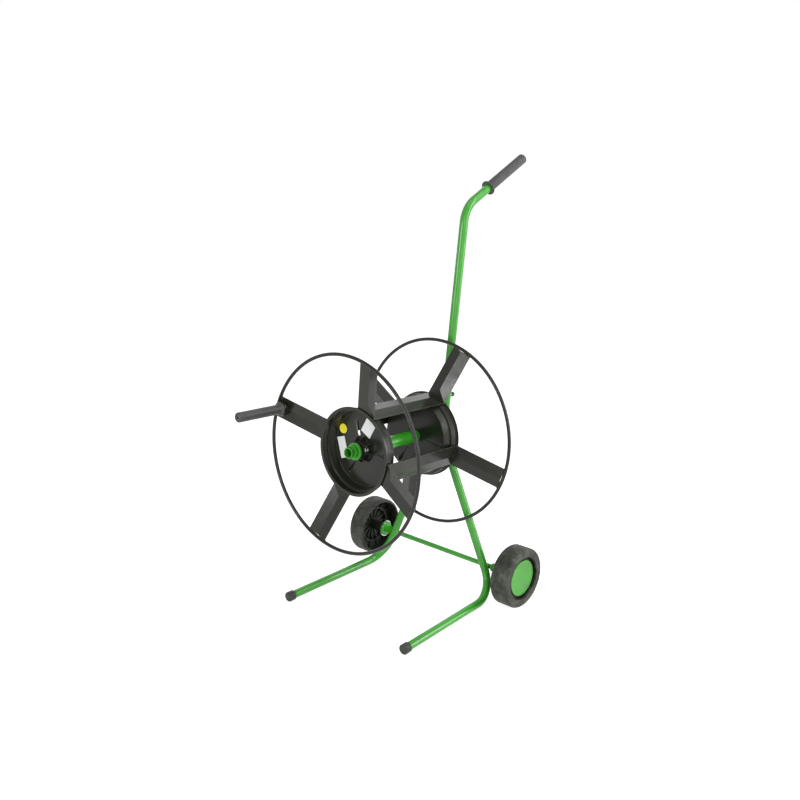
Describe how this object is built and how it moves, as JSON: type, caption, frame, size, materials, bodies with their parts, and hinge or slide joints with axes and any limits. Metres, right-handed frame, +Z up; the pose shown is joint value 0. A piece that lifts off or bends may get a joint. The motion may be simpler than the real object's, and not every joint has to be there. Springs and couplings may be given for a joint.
{
  "type": "garden hose reel cart",
  "caption": "Two-wheeled garden hose cart: bent green tube frame on two feet, leaning mast with a grip, and an open wire reel with folded arms, hub discs and a crank grip.",
  "frame": {"origin": "on the ground at the middle of the cart's outline", "axes": "+X to the right wheel, +Y to the rear, the way the mast leans, +Z up; the feet and the crank point to -Y"},
  "size_m": [0.4906, 0.7548, 0.9964],
  "materials": {
    "green_paint": "glossy green powder coat",
    "black_steel": "satin black powder coat",
    "black_plastic": "matte black moulded plastic",
    "grip_plastic": "fine-grained black grip plastic",
    "tyre": "dull black tyre",
    "green_plastic": "satin green moulded plastic",
    "zinc_steel": "bright zinc plate",
    "yellow_label": "plain yellow film",
    "white_label": "plain white film",
    "pale_label": "plain pale film"
  },
  "bodies": {
    "frame": {"left_side_tube": "green_paint", "right_side_tube": "green_paint", "left_foot_cap": "black_plastic", "right_foot_cap": "black_plastic", "mast_socket": "green_paint", "reel_axle_tube": "green_paint", "wheel_axle_rod": "green_paint", "left_wheel_collar": "green_paint", "right_wheel_collar": "green_paint", "left_wheel_washer": "zinc_steel", "right_wheel_washer": "zinc_steel", "left_push_cap": "zinc_steel", "right_push_cap": "zinc_steel", "front_stop_collar": "green_paint", "stop_collar_screw": "zinc_steel", "rear_stop_ring": "green_paint"},
    "mast": {"mast_tube": "green_paint", "mast_grip": "grip_plastic"},
    "clamp": {"clamp_screw": "zinc_steel", "clamp_knob": "black_plastic"},
    "left_wheel": {"left_tyre": "tyre", "left_wheel_hub": "black_plastic", "left_wheel_bush": "black_plastic", "left_hub_cap": "green_plastic"},
    "right_wheel": {"right_tyre": "tyre", "right_wheel_hub": "black_plastic", "right_wheel_bush": "black_plastic", "right_hub_cap": "green_plastic"},
    "reel": {"front_rim": "black_steel", "back_rim": "black_steel", "crank_arm": "black_steel", "top_arm": "black_steel", "right_arm": "black_steel", "bottom_arm": "black_steel", "front_hub_disc": "black_steel", "back_hub_disc": "black_steel", "hub_tube": "green_paint", "front_hub_boss": "black_plastic", "back_hub_boss": "black_plastic", "boss_screws": "zinc_steel", "boss_rivets": "zinc_steel", "front_bush": "black_plastic", "back_bush": "black_plastic", "crank_spacers": "black_plastic", "crank_washer": "zinc_steel", "crank_bolt": "zinc_steel", "crank_nut": "zinc_steel", "dot_sticker": "yellow_label", "panel_sticker": "white_label", "diamond_sticker": "pale_label"},
    "crank_handle": {"crank_grip": "grip_plastic"}
  },
  "joints": [
    {"name": "mast_slide", "type": "slide", "parent": "frame", "child": "mast", "axis": [0, 0.1409, 0.99], "range_m": [-0.15, 0.05]},
    {"name": "clamp_turn", "type": "hinge", "parent": "frame", "child": "clamp", "pos_m": [0, 0.11436, 0.45769], "axis": [0, 0.99, -0.1409], "range_deg": [0, 360]},
    {"name": "left_wheel_spin", "type": "hinge", "parent": "frame", "child": "left_wheel", "pos_m": [-0.22228, 0.08551, 0.0708], "axis": [1, 0, 0], "continuous": true},
    {"name": "right_wheel_spin", "type": "hinge", "parent": "frame", "child": "right_wheel", "pos_m": [0.22228, 0.08551, 0.0708], "axis": [1, 0, 0], "continuous": true},
    {"name": "reel_spin", "type": "hinge", "parent": "frame", "child": "reel", "pos_m": [0, -0.09936, 0.39392], "axis": [0, -0.9971, 0.0757], "continuous": true},
    {"name": "crank_grip_spin", "type": "hinge", "parent": "reel", "child": "crank_handle", "pos_m": [-0.18758, -0.2532, 0.46855], "axis": [0, -0.9971, 0.0757], "continuous": true}
  ]
}
